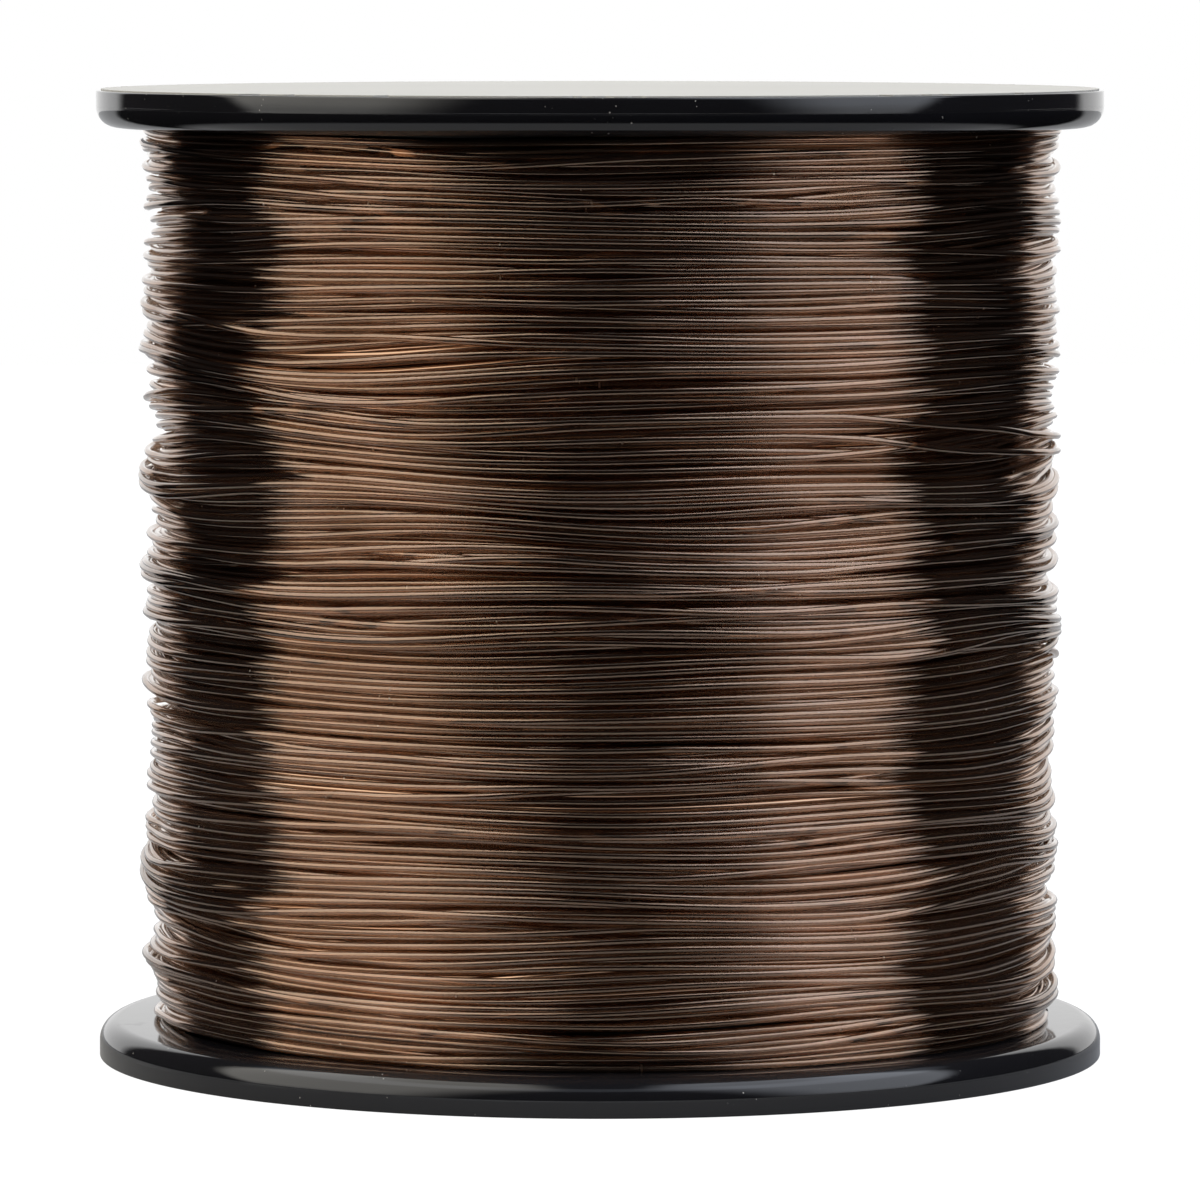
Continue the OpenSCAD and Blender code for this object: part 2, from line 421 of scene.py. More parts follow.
rib = box((HUB_R - ROOT, CUP_R + ROOT), (-RIB_T / 2, RIB_T / 2), (RIB_SET, CUP_DEPTH + ROOT))
pick_faces(rib, lambda c, n: n.z < -0.9)
bpy.ops.transform.resize(value=(1, RIB_DRAFT, 1), center_override=(0, 0, RIB_SET))
pick_edges(rib, lambda p: p[2] < RIB_SET + NEAR)
bpy.ops.mesh.bevel(offset=RIB_ROUND, segments=3, affect="EDGES")
bpy.ops.object.mode_set(mode="OBJECT")
combine(flange, ring_of(rib, RIB_COUNT, 180 / RIB_COUNT), "UNION")

# %% [markdown]
# ## Snap lugs
#
# Three lugs on the cup catch in the tube's windows. The end that goes in first is a ramp, so that the tube
# slides over it and snaps back behind.

# %% Snap lugs
LUG_COUNT = 3
LUG_W = 7 * MM
LUG_LEN = 3 * MM
LUG_H = 0.9 * MM
LUG_Z = WEB_T + 4 * MM
LUG_RAMP = 0.9 * LUG_H

lug = box((SPIGOT_R - 2 * ROOT, SPIGOT_R + LUG_H), (-LUG_W / 2, LUG_W / 2), (LUG_Z, LUG_Z + LUG_LEN))
pick_edges(lug, lambda p: p[0] > SPIGOT_R and p[2] > LUG_Z + NEAR)
bpy.ops.transform.translate(value=(-LUG_RAMP, 0, 0))
bpy.ops.object.mode_set(mode="OBJECT")
combine(flange, ring_of(lug, LUG_COUNT, 0), "UNION")

# %% [markdown]
# ## Marks of the mould
#
# Ejector pins push the hot moulding out of the steel and leave flat rounds on its outer face. Three gates,
# where the melt came in, leave smaller and deeper dimples. Both are cut with the end of a round pin.

# %% Pin and gate marks
def pin_end(radius, away, sink):
    """The end of a steel pin that presses a shallow round into the outer face."""
    bpy.ops.object.select_all(action="DESELECT")
    bpy.ops.mesh.primitive_cylinder_add(vertices=32, radius=radius, depth=2 * sink, location=(away, 0, 0))
    bpy.ops.object.transform_apply(location=True, rotation=True, scale=True)
    return bpy.context.object


combine(flange, ring_of(pin_end(radius=2 * MM, away=36 * MM, sink=0.08 * MM), 8, 0), "DIFFERENCE")
combine(flange, ring_of(pin_end(radius=1.1 * MM, away=26 * MM, sink=0.15 * MM), 3, 30), "DIFFERENCE")

# %% [markdown]
# ## Black polystyrene, moulded and handled
#
# Glossy polystyrene is near black with a clear mirror on top. What tells it from ideal black is the parting
# line round the rim, a faint orange peel, hairlines from other spools in the box, and dust. A flat black
# would look drawn; so the black varies slightly with the flow of the melt, and the gloss with the wear.

# %% Black polystyrene
# The mirror on top gives the eye crisp panels at the rim; the dust and hairlines say that it was handled.
black, tree = new_material("moulded_black_polystyrene")
coords = node(tree, "TexCoord").outputs["Object"]

# The melt flowed in clouds about 11 mm wide.
flow = node(tree, "TexNoise", {"Scale": 0.09 * PER_MM, "Detail": 4.0, "Roughness": 0.6}, {"Vector": coords})
blacks = {**TWO_COLOURS, "A": linear("#121214"), "B": linear("#19191C")}
blacks = node(tree, "Mix", blacks, {"Factor": flow}).outputs["Result"]

# Hairlines run nearly level, 6 mm long and 0.2 mm apart. Real ones are finer; these are as fine as shows.
streaks = {"Scale": (0.16 * PER_MM, 0.16 * PER_MM, 5.2 * PER_MM), "Rotation": (0.02, 0.015, 0)}
streaks = node(tree, "Mapping", streaks, {"Vector": coords})
hairs = node(tree, "TexNoise", {"Scale": 1.0, "Detail": 3.0, "Roughness": 0.7}, {"Vector": streaks})
hairs = node(tree, "MapRange", {**SOFT, "From Min": 0.60, "From Max": 0.74}, {"Value": hairs})

# Dust: specks in 0.7 mm cells, only where a 4 mm cloud is dense. Real dust is finer and wouldn't show, so
# the specks are drawn 0.2 mm wide.
grain = node(tree, "TexVoronoi", {"Scale": 1.4 * PER_MM, "Randomness": 1.0}, {"Vector": coords})
grain = grain.outputs["Distance"]
grain = node(tree, "MapRange", {**SOFT, "From Min": 0.13, "From Max": 0.08}, {"Value": grain})
cloud = node(tree, "TexNoise", {"Scale": 0.26 * PER_MM, "Detail": 2.0}, {"Vector": coords})
cloud = node(tree, "MapRange", {**SOFT, "From Min": 0.58, "From Max": 0.66}, {"Value": cloud})
dust = node(tree, "Math", TIMES, {0: grain, 1: cloud})
cover = node(tree, "Math", {**TIMES, 1: 0.7}, {0: dust})
dusty = {**TWO_COLOURS, "B": linear("#C9C4BC")}
dusty = node(tree, "Mix", dusty, {"Factor": cover, "A": blacks}).outputs["Result"]

gloss = node(tree, "MapRange", {"To Min": 0.05, "To Max": 0.08}, {"Value": flow})
wear = node(tree, "Math", PLUS, {0: hairs, 1: dust})
gloss = node(tree, "Math", {**TIMES_PLUS, 1: 0.10}, {0: wear, 2: gloss})

# The parting line is 1.62 mm from either outer face and 0.14 mm wide; the peel has a grain of 2.4 mm.
level = node(tree, "SeparateXYZ", {}, {0: coords}).outputs["Z"]
level = node(tree, "Math", {"operation": "PINGPONG", 1: SPOOL_H / 2}, {0: level})
seam = node(tree, "Math", {"operation": "COMPARE", 1: 1.62 * MM, 2: 0.07 * MM}, {0: level})
peel = node(tree, "TexNoise", {"Scale": 0.42 * PER_MM, "Detail": 1.0}, {"Vector": coords})
relief = node(tree, "Math", {**TIMES, 1: 0.22}, {0: peel})
relief = node(tree, "Math", {**TIMES_PLUS, 1: 1.6}, {0: seam, 2: relief})
relief = node(tree, "Math", {**TIMES_PLUS, 1: -0.05}, {0: hairs, 2: relief})
bump = node(tree, "Bump", {"Strength": 1.0, "Distance": 0.03 * MM}, {"Height": relief})
sockets = {"Base Color": dusty, "Roughness": gloss, "Normal": bump}
node(tree, "OutputMaterial", {}, {"Surface": node(tree, "BsdfPrincipled", {"IOR": 1.53}, sockets)})
flange.data.materials.clear()
flange.data.materials.append(black)
bpy.ops.object.shade_smooth_by_angle(angle=math.radians(35))
print("nodes in the black polystyrene:", len(tree.nodes))

# %% [markdown]
# ## The second flange
#
# The upper flange is the same moulding turned over. A mirrored copy has its faces inside out, so its
# normals are worked out again.

# %% Upper flange
upper = flange.copy()
upper.data = flange.data.copy()
upper.name = "upper_flange_moulding"
bpy.context.scene.collection.objects.link(upper)
only(upper)
upper.scale = (1, 1, -1)
upper.location = (0, 0, SPOOL_H)
bpy.ops.object.transform_apply(location=True, rotation=True, scale=True)
bpy.ops.object.mode_set(mode="EDIT")
bpy.ops.mesh.select_all(action="SELECT")
bpy.ops.mesh.normals_make_consistent(inside=False)
bpy.ops.object.mode_set(mode="OBJECT")
for piece, stands_for in ((flange, "lower_flange"), (upper, "upper_flange")):
    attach(piece, "root")
    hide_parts(stands_for)
print("upper flange box mm", [round(v * PER_MM, 2) for v in upper.dimensions])

# %% [markdown]
# ## Winding the line
#
# The line is one clear brown strand, wound in layers that climb and fall between the flanges. A machine
# traverses it, so the turns bunch, lean together and cross those below at a slight angle. Nothing in Edit
# Mode makes that; a short simulation does. It keeps a map of the height wound so far. Each strand rests on
# the map, slips a little into the nearest valley, stays taut over gaps, and is added to the map.
#
# Only the last layers can be seen, so four are wound over a plain core. A turn has 128 points, and the map
# has as many columns, with a row for every 0.05 mm.

# %% Sizes of the winding
TURN = 2 * math.pi
COLUMNS = 128
ROW = 0.05 * MM
LINE_R = 0.375 * MM
LOW_Z = RIM_T + LINE_R + 0.03 * MM
HIGH_Z = SPOOL_H - LOW_Z
LAYER_TURNS = [92, 96, 100, 108.25]
LAYERS = len(LAYER_TURNS)
CLEAR_LAYERS = 2
LAYER_T = 0.66 * MM
BASE_R = WINDING_R - 0.5 * MM - 2 * LINE_R - (LAYERS - 1) * LAYER_T
print("turns:", sum(LAYER_TURNS), "on a base of radius mm", round(BASE_R * PER_MM, 2))

# %% [markdown]
# ## Smooth chance
#
# Line doesn't wander at random from point to point: it wanders slowly. So random values are blurred over a
# length. The strands near a place also lean together, as they follow each other. Forty long waves do that.

# %% Noise and drift
rng = np.random.RandomState(9)


def soft_noise(count, spread):
    """Smooth random values of unit size, alike over so many points."""
    reach = int(spread * 3) + 1
    kernel = np.exp(-0.5 * (np.arange(-reach, reach + 1) / spread) ** 2)
    raw = np.convolve(rng.randn(count + 2 * reach), kernel / kernel.sum(), "valid")[:count]
    return raw / raw.std()


def smooth(values, width):
    """The mean of each value and its neighbours, with the ends held."""
    return np.convolve(np.pad(values, width // 2, "edge"), np.ones(width) / width, "valid")


def ease(t):
    t = np.clip(t, 0, 1)
    return t * t * (3 - 2 * t)


def leaning():
    """One long wave: its size, how often it comes round the spool, its length and where it starts."""
    return rng.uniform(0.03, 0.13) * MM, rng.randint(1, 7), rng.uniform(7, 30) * MM, rng.uniform(0, 7)


drift = [leaning() for _ in range(40)]


def shared_drift(z, angle):
    """How far all the strands near a place lean up or down together."""
    return sum(size * np.sin(spins * angle + TURN * z / wave + start) for size, spins, wave, start in drift)


print("drift half way up, mm:", round(float(shared_drift(SPOOL_H / 2, 0)) * PER_MM, 2))

# %% [markdown]
# ## The map of heights
#
# What lies below isn't round: it sits half a millimetre to one side, is thicker towards the top and has
# low waves. A strand on the map is an arch, as wide as the line.

# %% Map of heights
SPARE_ROWS = 20
OFF_CENTRE = 0.48 * MM
THICKER_TOP = 0.5 * MM
TOP_FROM = 70 * MM
TOP_OVER = 20 * MM
WAVE_H = 0.07 * MM

rows = int((HIGH_Z - LOW_Z) / ROW) + 2 * SPARE_ROWS
row_z = LOW_Z + (np.arange(rows) - SPARE_ROWS) * ROW
angles = np.arange(COLUMNS) * TURN / COLUMNS
surface = np.full((COLUMNS, rows), BASE_R) + OFF_CENTRE * np.cos(angles)[:, None]
surface += THICKER_TOP * ease((row_z - TOP_FROM) / TOP_OVER)[None, :]
for _ in range(14):
    wave = rng.uniform(3.5, 16) * MM
    spins = rng.randint(-2, 3)
    start = rng.uniform(0, TURN)
    surface += WAVE_H * np.cos(TURN * row_z[None, :] / wave + spins * angles[:, None] + start)
base_profile = surface.mean(0).copy()
reach = int(LINE_R / ROW)
steps = np.arange(-reach, reach + 1)
arch = np.sqrt(np.maximum(LINE_R**2 - (steps * ROW) ** 2, 0))


def row_of(z):
    return np.clip(((z - row_z[0]) / ROW).round().astype(int), reach, rows - 1 - reach)


def resting(column, z):
    """Radius at which a strand rests on what is already wound."""
    return (surface[column[:, None], row_of(z)[:, None] + steps] + arch).max(1)


spread = surface.min() * PER_MM, surface.max() * PER_MM
print("map:", surface.shape, "base from mm", round(spread[0], 2), "to", round(spread[1], 2))

# %% [markdown]
# ## Where the strand is led
#
# The eye of the winder climbs steadily, but the line doesn't come down evenly: it crowds where the winding
# is still low and thins out where it is high. A few stray turns jump out of their lane and back.

# %% Traverse and stray turns
STRAY_HOLD = 0.3
STRAY_BACK = 0.4


def traverse(turns, upwards, first, wound):
    """Heights of one layer's points: a climb with bunching, and a wander that makes strands cross."""
    count = round(turns * COLUMNS)
    excess = smooth(surface.mean(0), 21) - base_profile - wound * LAYER_T
    closeness = np.clip(1 - (excess - excess.mean()) / (0.6 * MM), 0.6, 1.5)
    inside = (row_z > LOW_Z) & (row_z < HIGH_Z)
    share = np.cumsum(closeness[inside])
    steady = np.clip(1 + 0.2 * soft_noise(count, 1.5 * COLUMNS), 0.3, 3).cumsum()
    z = np.interp(steady / steady[-1], share / share[-1], row_z[inside])
    z = z if upwards else z[::-1].copy()
    z += 0.22 * MM * soft_noise(count, 0.22 * COLUMNS)
    return z + shared_drift(z, (np.arange(count) + first) * TURN / COLUMNS)


def stray(z, first, at_height, at_angle, run, drop):
    """Moves one turn off its lane near a height and an angle in degrees, over so many turns, and back."""
    index = np.arange(len(z))
    same = index[(index + first) % COLUMNS == round(at_angle / 360 * COLUMNS)]
    start = same[np.argmin(np.abs(z[same] - at_height))]
    t = (index - start) / COLUMNS
    z += drop * (ease(t / run) - ease((t - run - STRAY_HOLD) / STRAY_BACK))


print("a stray turn is back in its lane", round(STRAY_HOLD + STRAY_BACK, 2), "turns after its jump")

# %% [markdown]
# ## Laying it down
#
# The line is laid a few points at a time. Each point tries small slips and takes the lowest, as long as the
# slip is short. Then the run is pulled taut: a tight line spans a hollow. How far it can sag or rise is
# limited, since pressed nylon spreads.

# %% Lay a strand
SLIPS = np.arange(-6, 7) * 0.075 * MM
PRESS = 1.2 * MM
CHUNK = 24
LOOK = 8
SPANNED = 5
SAG = (TURN * WINDING_R / COLUMNS) ** 2 / (2 * WINDING_R)


def settle(column, z):
    """How far each point slips: towards the lowest place near it, where a long slip counts as higher."""
    cost = np.array([resting(column, z + t) for t in SLIPS]) + 0.2 * (SLIPS[:, None] / MM) ** 2 * MM
    weight = np.exp(-(cost - cost.min(0)) / (0.04 * MM))
    return (weight * SLIPS[:, None]).sum(0) / weight.sum(0)


def pull_taut(held, level):
    """Lifts a run to the straight spans between its high points, and presses it towards a level."""
    taut = held.copy()
    for k in range(1, SPANNED + 1):
        taut[k:] = np.maximum(taut[k:], held[:-k] - SAG * k * k)
        taut[:-k] = np.maximum(taut[:-k], held[k:] - SAG * k * k)
    padded = np.pad(taut, 1, "edge")
    taut = 0.2 * padded[:-2] + 0.6 * padded[1:-1] + 0.2 * padded[2:]
    return level + PRESS * np.tanh((taut - level) / PRESS)


def lay(z, first, level):
    """Lays a run of line over the surface and returns its points' radii and settled heights."""
    count = len(z)
    radius = np.zeros(count)
    height = z.copy()
    slip = np.zeros(count)
    for start in range(0, count, CHUNK):
        stop = min(start + CHUNK, count)
        index = np.arange(start, min(stop + LOOK, count))
        column = (index + first) % COLUMNS
        back = min(start, LOOK)
        run = np.concatenate([slip[start - back : start], settle(column, z[index])])
        slip[index] = smooth(run, 7)[back:]
        height[index] = np.clip(z[index] + slip[index], LOW_Z, HIGH_Z)
        back = min(start, SPANNED)
        held = np.concatenate([radius[start - back : start], resting(column, height[index])])
        radius[index] = pull_taut(held, level)[back:]
        laid = index[: stop - start]
        spot = (((laid + first) % COLUMNS)[:, None], row_of(height[laid])[:, None] + steps)
        surface[spot] = np.maximum(surface[spot], radius[laid, None] + arch)
    return radius, height


print("over one step the circle bends away from a straight line by mm", round(SAG * PER_MM, 4))

# %% [markdown]
# ## Four layers
#
# Every layer starts where the one below it ended, and climbs over forty points onto its own level. The last
# one drops by 5 mm in its last fifth of a turn, so that its end lies under the tape.

# %% Wind the layers
# Height in mm, angle in degrees, turns that the jump takes, and how far it goes in mm.
STRAYS = [
    (67.4, 288, 0.17, -4.6),
    (68.4, 286, 0.18, -4.4),
    (77.0, 205, 0.10, -2.4),
    (52.0, 196, 0.09, 1.8),
    (30.0, 240, 0.12, 1.6),
    (84.0, 300, 0.12, -1.8),
    (20.0, 310, 0.14, 2.2),
    (43.0, 330, 0.12, -2.0),
]
END_DROP = 5 * MM
END_TURNS = 0.2
CLIMB = 40

runs = []
first = 0
for layer, turns in enumerate(LAYER_TURNS):
    z = traverse(turns, (LAYERS - layer) % 2 == 1, first, layer)
    if layer == LAYERS - 1:
        for at_height, at_angle, jump, drop in STRAYS:
            stray(z, first, at_height * MM, at_angle, jump, drop * MM)
        z -= END_DROP * ease((np.arange(len(z)) - len(z)) / (END_TURNS * COLUMNS) + 1)
    z = np.clip(z, LOW_Z, HIGH_Z)
    radius, height = lay(z, first, BASE_R + LINE_R + (layer + 0.4) * LAYER_T)
    if runs:
        climb = ease(np.arange(CLIMB) / CLIMB)
        radius[:CLIMB] = runs[-1][1][-1] * (1 - climb) + radius[:CLIMB] * climb
    runs.append((first, radius, height))
    first += len(z)
    mean, spread = radius.mean() * PER_MM, radius.std() * PER_MM
    print("layer", layer + 1, "mean radius mm", round(float(mean), 2), "spread", round(float(spread), 2))

# %% [markdown]
# ## Brown nylon
#
# Drawn nylon is smooth, clear and tinted. In the last two layers the strands let light through, with part of
# it sent straight back by the strands behind, which a metal share imitates at little cost. Deeper down the
# light only goes round and round, so those layers just send back a softer, browner light. Both change
# slightly along the line, with fine streaks of the drawing die and some dust.

# %% Brown nylon
def nylon(name, light, heavy, rough, settings):
    """Nylon whose brown changes a little along the line, with faint drawing streaks and dust."""
    made, tree = new_material(name)
    coords = node(tree, "TexCoord").outputs["Object"]

    # The brown changes in clouds of 13 mm, as the dye and the thickness do.
    clouds = node(tree, "TexNoise", {"Scale": 0.075 * PER_MM, "Detail": 3.0}, {"Vector": coords})
    clouds = node(tree, "MapRange", {**SOFT, "From Min": 0.35, "From Max": 0.65}, {"Value": clouds})
    browns = {**TWO_COLOURS, "A": linear(light), "B": linear(heavy)}
    browns = node(tree, "Mix", browns, {"Factor": clouds}).outputs["Result"]

    # Dust: specks in 1.1 mm cells, only where a 3.3 mm cloud is dense, again coarser than real dust.
    grain = node(tree, "TexVoronoi", {"Scale": 0.9 * PER_MM, "Randomness": 1.0}, {"Vector": coords})
    grain = grain.outputs["Distance"]
    grain = node(tree, "MapRange", {**SOFT, "From Min": 0.11, "From Max": 0.07}, {"Value": grain})
    spots = node(tree, "TexNoise", {"Scale": 0.3 * PER_MM, "Detail": 2.0}, {"Vector": coords})
    spots = node(tree, "MapRange", {**SOFT, "From Min": 0.64, "From Max": 0.70}, {"Value": spots})
    dust = node(tree, "Math", TIMES, {0: grain, 1: spots})
    dusty = {**TWO_COLOURS, "B": linear("#EDE6DC")}
    dusty = node(tree, "Mix", dusty, {"Factor": dust, "A": browns}).outputs["Result"]

    # The die's streaks run along the line, which lies nearly level: 25 mm long and 0.11 mm apart.
    along = {"Scale": (0.04 * PER_MM, 0.04 * PER_MM, 9 * PER_MM)}
    along = node(tree, "Mapping", along, {"Vector": coords})
    streaks = node(tree, "TexNoise", {"Scale": 1.0, "Detail": 2.0}, {"Vector": along})
    gloss = node(tree, "MapRange", {"To Min": rough, "To Max": rough + 0.06}, {"Value": streaks})
    gloss = node(tree, "Math", {**TIMES_PLUS, 1: 0.5}, {0: dust, 2: gloss})
    sockets = {"Base Color": dusty, "Roughness": gloss}
    shader = node(tree, "BsdfPrincipled", {"IOR": 1.53, **settings}, sockets)
    node(tree, "OutputMaterial", {}, {"Surface": shader})
    return made


# Clear and drawn: a thin bright line along each strand, and depth between the strands.
drawn = {"Metallic": 0.30, "Transmission Weight": 1.0}
drawn = nylon("drawn_brown_nylon", "#C5A68D", "#B8987D", 0.02, drawn)
# Packed under the others: a broad soft glow. The metal share stands for light that goes round inside.
packed = nylon("packed_brown_nylon", "#BA997F", "#AC8B72", 0.15, {"Metallic": 1.0})
# In the shade of all the layers: the dark of the gaps.
shaded = nylon("shaded_brown_nylon", "#271D16", "#1D1410", 0.4, {"Metallic": 0.0})
print("nylons:", drawn.name, packed.name, shaded.name)

# %% [markdown]
# ## Strands
#
# A strand is a curve through its points with a round section, made a mesh. Each layer is cut in two pieces
# that share a point, because one piece may hold only so many faces.

# %% Strands of the four layers
def tube(name, radius, height, first, bevel):
    """A run of line as a round curve through its points, made a mesh."""
    turn = (np.arange(len(radius)) + first) * TURN / COLUMNS
    points = np.stack([radius * np.cos(turn), radius * np.sin(turn), height, np.ones(len(radius))], 1)
    curve = bpy.data.curves.new(name, "CURVE")
    curve.dimensions = "3D"
    curve.twist_mode = "Z_UP"
    curve.bevel_depth = LINE_R
    curve.bevel_resolution = bevel
    curve.use_fill_caps = True
    spline = curve.splines.new("POLY")
    spline.points.add(len(points) - 1)
    spline.points.foreach_set("co", points.ravel())
    made = bpy.data.objects.new(name, curve)
    bpy.context.scene.collection.objects.link(made)
    only(made)
    bpy.ops.object.convert(target="MESH")
    bpy.ops.object.shade_smooth()
    return bpy.context.object


for layer, (first, radius, height) in enumerate(runs):
    is_clear = layer >= LAYERS - CLEAR_LAYERS
    half = len(radius) // 2
    for part, a, b in (("a", 0, half + 1), ("b", half, len(radius))):
        name = f"line_layer_{layer + 1}{part}"
        piece = tube(name, radius[a:b], height[a:b], first + a, 4 if is_clear else 3)
        piece.data.materials.append(drawn if is_clear else packed)
        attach(piece, "root")
        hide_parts("outer_turns" if layer == LAYERS - 1 else "packed_line")
        print(name, "faces:", len(piece.data.polygons))

# %% [markdown]
# ## The core
#
# Deeper layers show only as dark between the strands, so a plain cylinder stands for them.

# %% Core
CORE_SINK = 0.6 * MM
bpy.ops.object.select_all(action="DESELECT")
sizes = {"radius": BASE_R - CORE_SINK, "depth": SPOOL_H - 2 * RIM_T, "location": (0, 0, SPOOL_H / 2)}
bpy.ops.mesh.primitive_cylinder_add(vertices=SIDES, **sizes)
core = bpy.context.object
core.name = "packed_core"
bpy.ops.object.transform_apply(location=True, rotation=True, scale=True)
bpy.ops.object.shade_smooth_by_angle(angle=math.radians(35))
core.data.materials.append(shaded)
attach(core, "root")
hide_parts("packed_line")
print("core box mm", [round(v * PER_MM, 2) for v in core.dimensions])

# %% [markdown]
# ## Tape over the free end
#
# A strip of clear tape keeps the free end down at the back. It is a grid draped over the same map of
# heights, pulled smooth over the strands, with ends torn on a saw-toothed cutter that curl up a little.

# %% Tail tape
TAPE_W = 12 * MM
TAPE_TOP = SPOOL_H - RIM_T - 0.6 * MM
TAPE_SPAN = 30 * MM / WINDING_R
TAPE_LIMIT = 47.9 * MM
FILM_T = 0.06 * MM
GLUE = 0.03 * MM
CURL = 0.5 * MM
CURL_FROM = 0.93
PULLED_ROWS = 12


def neighbours(heights, count, axis):
    """The map, moved by every number of steps up to a count, both ways."""
    return np.stack([np.roll(heights, shift, axis) for shift in range(-count, count + 1)])


bpy.ops.object.select_all(action="DESELECT")
bpy.ops.mesh.primitive_grid_add(x_subdivisions=120, y_subdivisions=96, size=1, location=(0, 0, 0))
tape = bpy.context.object
tape.name = "tail_tape_film"
flat = np.empty(len(tape.data.vertices) * 3)
tape.data.vertices.foreach_get("co", flat)
across = flat.reshape(-1, 3)[:, 0]
up = flat.reshape(-1, 3)[:, 1]
teeth = 0.25 * MM * np.abs((up * 24 + 0.3) % 2 - 1) - 0.2 * MM
turn = math.pi / 2 + across * (TAPE_SPAN + 2 * teeth / WINDING_R)
height = TAPE_TOP - TAPE_W / 2 + up * TAPE_W
tops = neighbours(surface, 1, 0).max(0)
tops = neighbours(tops, PULLED_ROWS, 1).max(0)
tops = neighbours(tops, PULLED_ROWS, 1).mean(0)
column = turn * COLUMNS / TURN
low = np.floor(column).astype(int)
share = column - low
row = ((height - row_z[0]) / ROW).round().astype(int)
lies = tops[low % COLUMNS, row] * (1 - share) + tops[(low + 1) % COLUMNS, row] * share + GLUE
lies = np.minimum(lies + CURL * np.maximum(0, np.abs(across) * 2 - CURL_FROM), TAPE_LIMIT)
draped = np.stack([lies * np.cos(turn), lies * np.sin(turn), height], 1)
tape.data.vertices.foreach_set("co", draped.ravel())
only(tape)
thick = tape.modifiers.new("film", "SOLIDIFY")
thick.thickness = FILM_T
thick.offset = 1
bpy.ops.object.modifier_apply(modifier=thick.name)
bpy.ops.object.mode_set(mode="EDIT")
bpy.ops.mesh.select_all(action="SELECT")
bpy.ops.mesh.normals_make_consistent(inside=False)
bpy.ops.object.mode_set(mode="OBJECT")
bpy.ops.object.shade_smooth_by_angle(angle=math.radians(40))
spread = lies.min() * PER_MM, lies.max() * PER_MM
print("tape lies at radius mm", round(float(spread[0]), 2), "to", round(float(spread[1]), 2))

# %% [markdown]
# ## Film and adhesive
#
# The tape is polypropylene film with an acrylic adhesive that has yellowed a little. Pressed on by a thumb,
# it traps air, and those patches are dull. The start of the line is held by the same tape.

# %% Tape film
# Two parts plain see-through to one of glass: the strands show, under a sheen with dull patches of air.
film, tree = new_material("adhesive_polypropylene_film")
coords = node(tree, "TexCoord").outputs["Object"]

# Bubbles in 1.6 mm cells, where a 4 mm cloud says that the film wasn't rubbed down.
bubbles = node(tree, "TexVoronoi", {"Scale": 0.62 * PER_MM, "Randomness": 1.0}, {"Vector": coords})
bubbles = bubbles.outputs["Distance"]
bubbles = node(tree, "MapRange", {**SOFT, "From Min": 0.34, "From Max": 0.26}, {"Value": bubbles})
clouds = node(tree, "TexNoise", {"Scale": 0.24 * PER_MM, "Detail": 3.0}, {"Vector": coords})
loose = node(tree, "MapRange", {**SOFT, "From Min": 0.48, "From Max": 0.56}, {"Value": clouds})
air = node(tree, "Math", TIMES, {0: bubbles, 1: loose})
yellows = {**TWO_COLOURS, "A": linear("#F3ECD6"), "B": linear("#E2D6B4")}
yellows = node(tree, "Mix", yellows, {"Factor": clouds}).outputs["Result"]
gloss = node(tree, "Math", {**TIMES_PLUS, 1: 0.35, 2: 0.08}, {0: air})
glass = {"IOR": 1.49, "Transmission Weight": 1.0}
glass = node(tree, "BsdfPrincipled", glass, {"Base Color": yellows, "Roughness": gloss})
clear = node(tree, "BsdfTransparent", {"Color": linear("#F6F0DE")})
veil = node(tree, "Math", {**TIMES_PLUS, 1: 0.25, 2: 0.35}, {0: air})
mixed = node(tree, "MixShader", {}, {0: veil, 1: clear, 2: glass})
node(tree, "OutputMaterial", {}, {"Surface": mixed})
tape.data.materials.append(film)
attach(tape, "root")
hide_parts("tail_tape")
start_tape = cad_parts["start_tape"]
start_tape.data.materials.clear()
start_tape.data.materials.append(film)
print("film on:", tape.name, "and", start_tape.name)

# %% [markdown]
# ## Barrel
#
# The extruded tube can be seen only through the spindle hole. Its mark is fine lines along the axis, drawn
# by the extruder's die, so it keeps the mesh of the construction and only gets its plastic.

# %% Barrel
# Extruded, not moulded: satin, with lines along the axis that break the light up.
extruded, tree = new_material("extruded_black_polystyrene")
coords = node(tree, "TexCoord").outputs["Object"]

# Lines 0.4 mm apart and 33 mm long.
along = node(tree, "Mapping", {"Scale": (2.6 * PER_MM, 2.6 * PER_MM, 0.03 * PER_MM)}, {"Vector": coords})
lines = node(tree, "TexNoise", {"Scale": 1.0, "Detail": 3.0}, {"Vector": along})
blacks = {**TWO_COLOURS, "A": linear("#1C1C1E"), "B": linear("#26262A")}
blacks = node(tree, "Mix", blacks, {"Factor": lines}).outputs["Result"]
gloss = node(tree, "MapRange", {"To Min": 0.35, "To Max": 0.55}, {"Value": lines})
bump = node(tree, "Bump", {"Strength": 1.0, "Distance": 0.02 * MM}, {"Height": lines})
sockets = {"Base Color": blacks, "Roughness": gloss, "Normal": bump}
node(tree, "OutputMaterial", {}, {"Surface": node(tree, "BsdfPrincipled", {"IOR": 1.59}, sockets)})
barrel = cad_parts["barrel"]
barrel.data.materials.clear()
barrel.data.materials.append(extruded)
print("barrel box mm", [round(v * PER_MM, 2) for v in barrel.dimensions])

# %% [markdown]
# ## Label
#
# A blank disc of coated paper covers the upper face. It was die-cut a little rough and has a few nicks where
# it was handled. They are modelled, since they show against the light along the front edge.

# %% Label
LABEL_R = FLANGE_R - 0.5 * MM
LABEL_T = 0.15 * MM
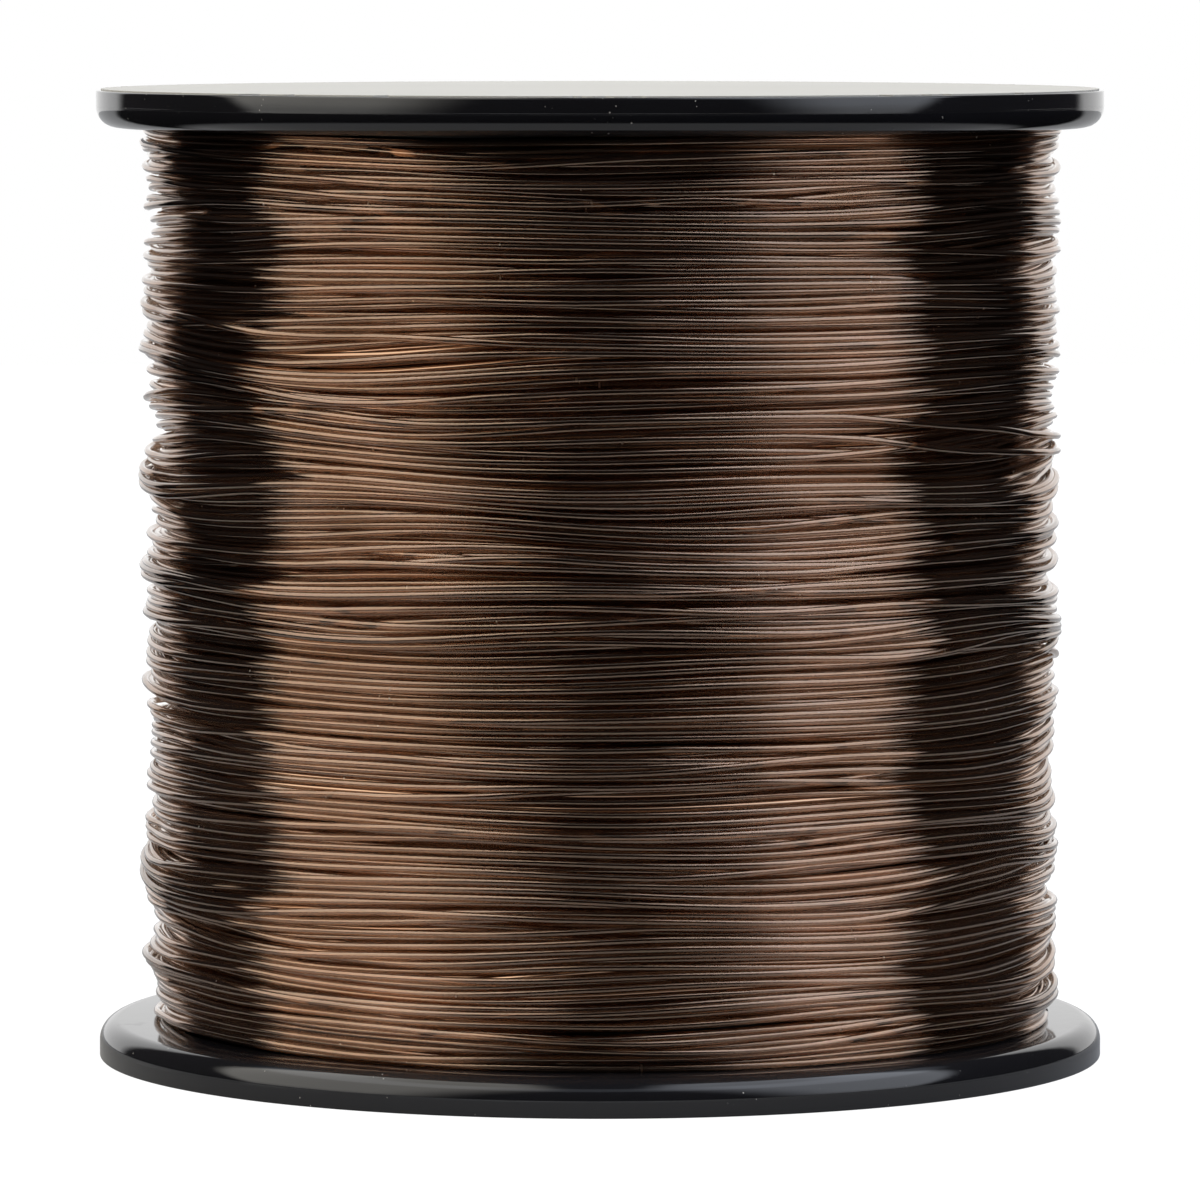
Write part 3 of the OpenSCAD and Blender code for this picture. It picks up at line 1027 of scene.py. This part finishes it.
# Angle and half width in degrees, and depth in mm.
NICKS = [
    (227.0, 0.9, 2.2),
    (228.6, 0.5, 1.2),
    (233.5, 0.6, 1.4),
    (245.5, 0.8, 1.6),
    (267.5, 1.2, 1.0),
    (270.5, 0.7, 1.4),
    (274.0, 0.9, 0.9),
    (303.0, 0.7, 1.6),
    (308.6, 0.5, 1.2),
    (311.6, 0.6, 1.8),
    (324.4, 0.8, 1.8),
    (30.0, 0.8, 1.4),
    (101.0, 0.7, 1.0),
    (168.0, 0.9, 1.7),
]


def bite(angle):
    """How far the edge lies inside the true circle, in mm: a slight roughness and the nicks."""
    depth = 0.06 * math.sin(angle * 0.9) ** 2 + 0.04 * math.sin(angle * 7.3) ** 2
    for at, half_width, nick in NICKS:
        depth += nick * max(0.0, 1 - ((angle - at) / half_width) ** 2) * (0.75 + 0.25 * math.sin(angle * 31))
    return depth


bpy.ops.object.select_all(action="DESELECT")
bpy.ops.mesh.primitive_circle_add(vertices=720, radius=LABEL_R, fill_type="NGON", location=(0, 0, SPOOL_H))
label = bpy.context.object
label.name = "label_disc"
bpy.ops.object.transform_apply(location=True, rotation=True, scale=True)
bpy.ops.object.mode_set(mode="EDIT")
bpy.ops.mesh.select_all(action="SELECT")
bpy.ops.mesh.extrude_region_move(TRANSFORM_OT_translate={"value": (0, 0, LABEL_T)})
bpy.ops.mesh.select_all(action="SELECT")
bpy.ops.mesh.normals_make_consistent(inside=False)
bpy.ops.object.mode_set(mode="OBJECT")
for vertex in label.data.vertices:
    shrink = 1 - bite(math.degrees(math.atan2(vertex.co.y, vertex.co.x)) % 360) * MM / LABEL_R
    vertex.co.x *= shrink
    vertex.co.y *= shrink
only(label)
bpy.ops.object.shade_smooth_by_angle(angle=math.radians(30))
print("label faces:", len(label.data.polygons), "nicks:", len(NICKS))

# %% [markdown]
# ## Label paper
#
# Coated paper has a fine grain and slow clouds from the sizing, and is satin where the coat is even. Paper
# this thin gives way over the bore, the hub and the cup, so their edges show as faint steps in the bump.

# %% Label paper
# A soft white with hardly any mirror: it is the only bright, dull thing on the spool.
paper, tree = new_material("coated_label_paper")
coords = node(tree, "TexCoord").outputs["Object"]

# Fibres 0.7 mm long and clouds of 22 mm.
fibres = {"Scale": 1.5 * PER_MM, "Detail": 4.0, "Roughness": 0.65}
fibres = node(tree, "TexNoise", fibres, {"Vector": coords})
clouds = node(tree, "TexNoise", {"Scale": 0.045 * PER_MM, "Detail": 3.0}, {"Vector": coords})
mottle = node(tree, "Math", {**TIMES, 1: 0.4}, {0: fibres})
mottle = node(tree, "Math", {**TIMES_PLUS, 1: 0.6}, {0: clouds, 2: mottle})
whites = {**TWO_COLOURS, "A": linear("#BBB8AF"), "B": linear("#C5C3BC")}
whites = node(tree, "Mix", whites, {"Factor": mottle}).outputs["Result"]

flat_coords = node(tree, "Mapping", {"Scale": (1, 1, 0)}, {"Vector": coords})
from_axis = node(tree, "VectorMath", {"operation": "LENGTH"}, {0: flat_coords}).outputs["Value"]
relief = node(tree, "Math", {**TIMES, 1: 0.03}, {0: fibres})
relief = node(tree, "Math", {**TIMES_PLUS, 1: 0.9}, {0: clouds, 2: relief})
for low, high, depth in (
    (BORE_R - 0.4 * MM, BORE_R + 0.3 * MM, 0.10),
    (HUB_R + 0.3 * MM, HUB_R - 0.3 * MM, 0.08),
    (CUP_R - 0.4 * MM, CUP_R + 0.4 * MM, 0.18),
):
    step = node(tree, "MapRange", {**SOFT, "From Min": low, "From Max": high}, {"Value": from_axis})
    relief = node(tree, "Math", {**TIMES_PLUS, 1: depth}, {0: step, 2: relief})
bump = node(tree, "Bump", {"Strength": 1.0, "Distance": 0.12 * MM}, {"Height": relief})
gloss = node(tree, "MapRange", {"To Min": 0.38, "To Max": 0.52}, {"Value": fibres})
sockets = {"Base Color": whites, "Roughness": gloss, "Normal": bump}
node(tree, "OutputMaterial", {}, {"Surface": node(tree, "BsdfPrincipled", {"IOR": 1.5}, sockets)})
label.data.materials.append(paper)
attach(label, "root")
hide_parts("top_label")
print("nodes in the paper:", len(tree.nodes))

# %% [markdown]
# ## Finish
#
# The colours are shown as they are, with the Standard view.

# %% Finish
bpy.context.scene.view_settings.view_transform = "Standard"
print("view:", bpy.context.scene.view_settings.view_transform)
